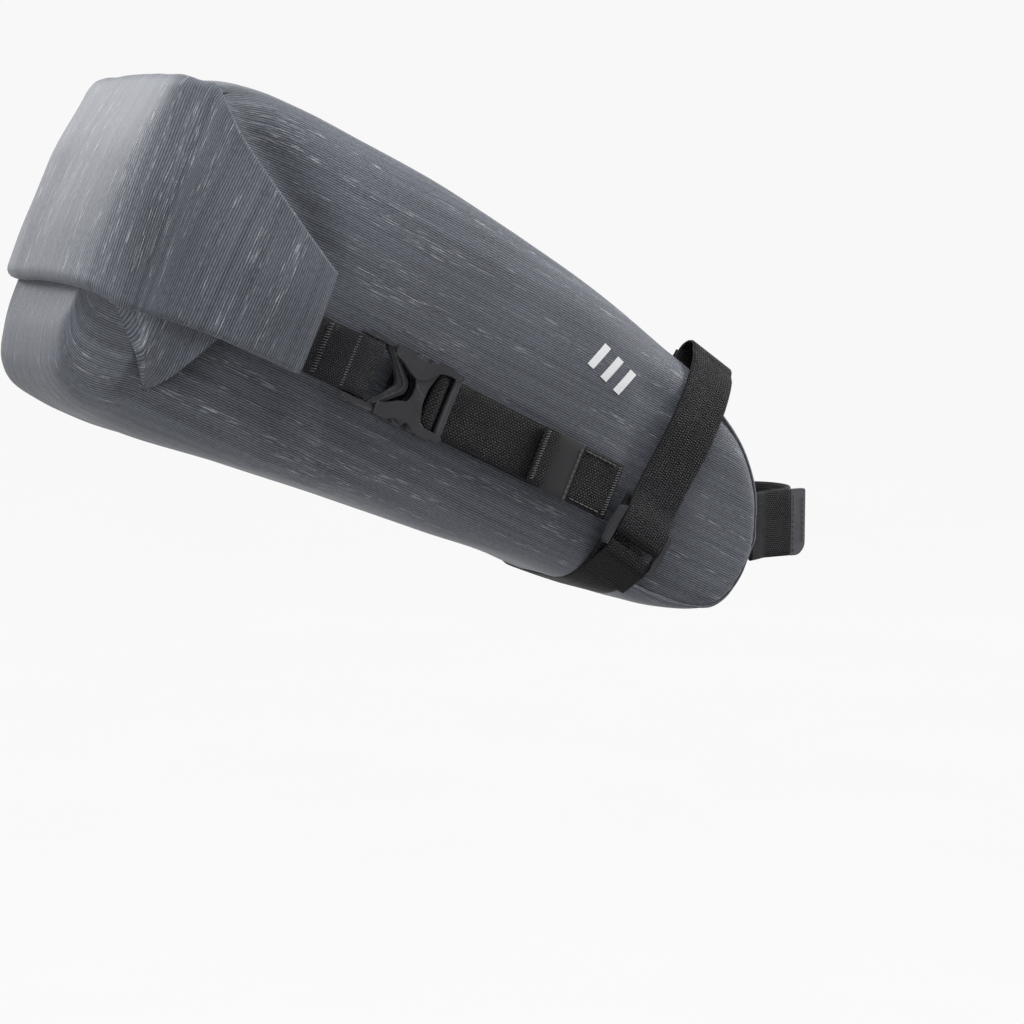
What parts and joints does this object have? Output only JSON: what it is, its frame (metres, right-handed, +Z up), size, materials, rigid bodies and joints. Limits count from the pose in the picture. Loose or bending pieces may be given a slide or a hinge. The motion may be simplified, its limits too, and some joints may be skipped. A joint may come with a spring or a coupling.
{
  "type": "saddle bag",
  "caption": "Roll-top welded saddle bag, nose down behind a seatpost, with side buckles, straps over the saddle rails and a seatpost strap.",
  "frame": {"origin": "on the seatpost's axis at the middle of the seatpost strap", "axes": "+X forward along the bicycle, +Y to the rider's left, +Z up along the seatpost's axis"},
  "size_m": [0.3542, 0.1276, 0.2308],
  "materials": {
    "shell_fabric": "laminated fabric with fine ribs and pale slub flecks",
    "nose_fabric": "rubberised fabric",
    "webbing": "woven nylon webbing",
    "patch_fabric": "smooth coated fabric",
    "buckle_plastic": "satin moulded acetal",
    "board": "matte sheet",
    "pad_rubber": "matte, fine grain"
  },
  "bodies": {
    "bag": {"bag_body": "shell_fabric", "roll_closure": "shell_fabric", "nose_panel": "nose_fabric", "nose_stiffener": "board", "base_stiffener": "board", "closure_stiffener": "board", "seatpost_pad": "pad_rubber", "sling_strap": "webbing", "seatpost_strap": "webbing", "seatpost_strap_end": "webbing", "closure_tab_right": "webbing", "buckle_tongue_right": "buckle_plastic", "side_strap_right": "webbing", "anchor_patch_right": "patch_fabric", "anchor_webbing_right": "webbing", "rail_strap_anchor_right": "webbing", "closure_tab_left": "webbing", "buckle_tongue_left": "buckle_plastic", "side_strap_left": "webbing", "anchor_patch_left": "patch_fabric", "anchor_webbing_left": "webbing", "rail_strap_anchor_left": "webbing"},
    "right_socket": {"buckle_socket_right": "buckle_plastic", "strap_tail_right": "webbing"},
    "right_prong_upper": {"buckle_prong_upper_right": "buckle_plastic"},
    "right_prong_lower": {"buckle_prong_lower_right": "buckle_plastic"},
    "right_slider": {"tri_glide_right": "buckle_plastic", "rail_strap_right": "webbing"},
    "left_socket": {"buckle_socket_left": "buckle_plastic", "strap_tail_left": "webbing"},
    "left_prong_upper": {"buckle_prong_upper_left": "buckle_plastic"},
    "left_prong_lower": {"buckle_prong_lower_left": "buckle_plastic"},
    "left_slider": {"tri_glide_left": "buckle_plastic", "rail_strap_left": "webbing"},
    "strap_tab": {"seatpost_strap_tab": "patch_fabric"}
  },
  "joints": [
    {"name": "right_buckle_slide", "type": "slide", "parent": "bag", "child": "right_socket", "axis": [0.9027, 0.0889, -0.4209], "range_m": [0, 0.015]},
    {"name": "right_prong_upper_squeeze", "type": "hinge", "parent": "bag", "child": "right_prong_upper", "pos_m": [-0.20662, -0.05679, 0.08289], "axis": [-0.0806, 0.996, 0.0376], "range_deg": [0, 8], "stiffness_Nm_per_rad": 0.6},
    {"name": "right_prong_lower_squeeze", "type": "hinge", "parent": "bag", "child": "right_prong_lower", "pos_m": [-0.2149, -0.05679, 0.06512], "axis": [0.0806, -0.996, -0.0376], "range_deg": [0, 8], "stiffness_Nm_per_rad": 0.6},
    {"name": "right_rail_strap_slide", "type": "slide", "parent": "bag", "child": "right_slider", "axis": [0.5621, 0, 0.8271], "range_m": [0, 0.012]},
    {"name": "left_buckle_slide", "type": "slide", "parent": "bag", "child": "left_socket", "axis": [0.9027, -0.0889, -0.4209], "range_m": [0, 0.015]},
    {"name": "left_prong_upper_squeeze", "type": "hinge", "parent": "bag", "child": "left_prong_upper", "pos_m": [-0.20662, 0.05679, 0.08289], "axis": [0.0806, 0.996, -0.0376], "range_deg": [0, 8], "stiffness_Nm_per_rad": 0.6},
    {"name": "left_prong_lower_squeeze", "type": "hinge", "parent": "bag", "child": "left_prong_lower", "pos_m": [-0.2149, 0.05679, 0.06512], "axis": [-0.0806, -0.996, 0.0376], "range_deg": [0, 8], "stiffness_Nm_per_rad": 0.6},
    {"name": "left_rail_strap_slide", "type": "slide", "parent": "bag", "child": "left_slider", "axis": [0.5621, 0, 0.8271], "range_m": [0, 0.012]},
    {"name": "strap_tab_peel", "type": "hinge", "parent": "bag", "child": "strap_tab", "pos_m": [0.00765, -0.0206, 0], "axis": [0, 0, -1], "range_deg": [0, 75]}
  ]
}
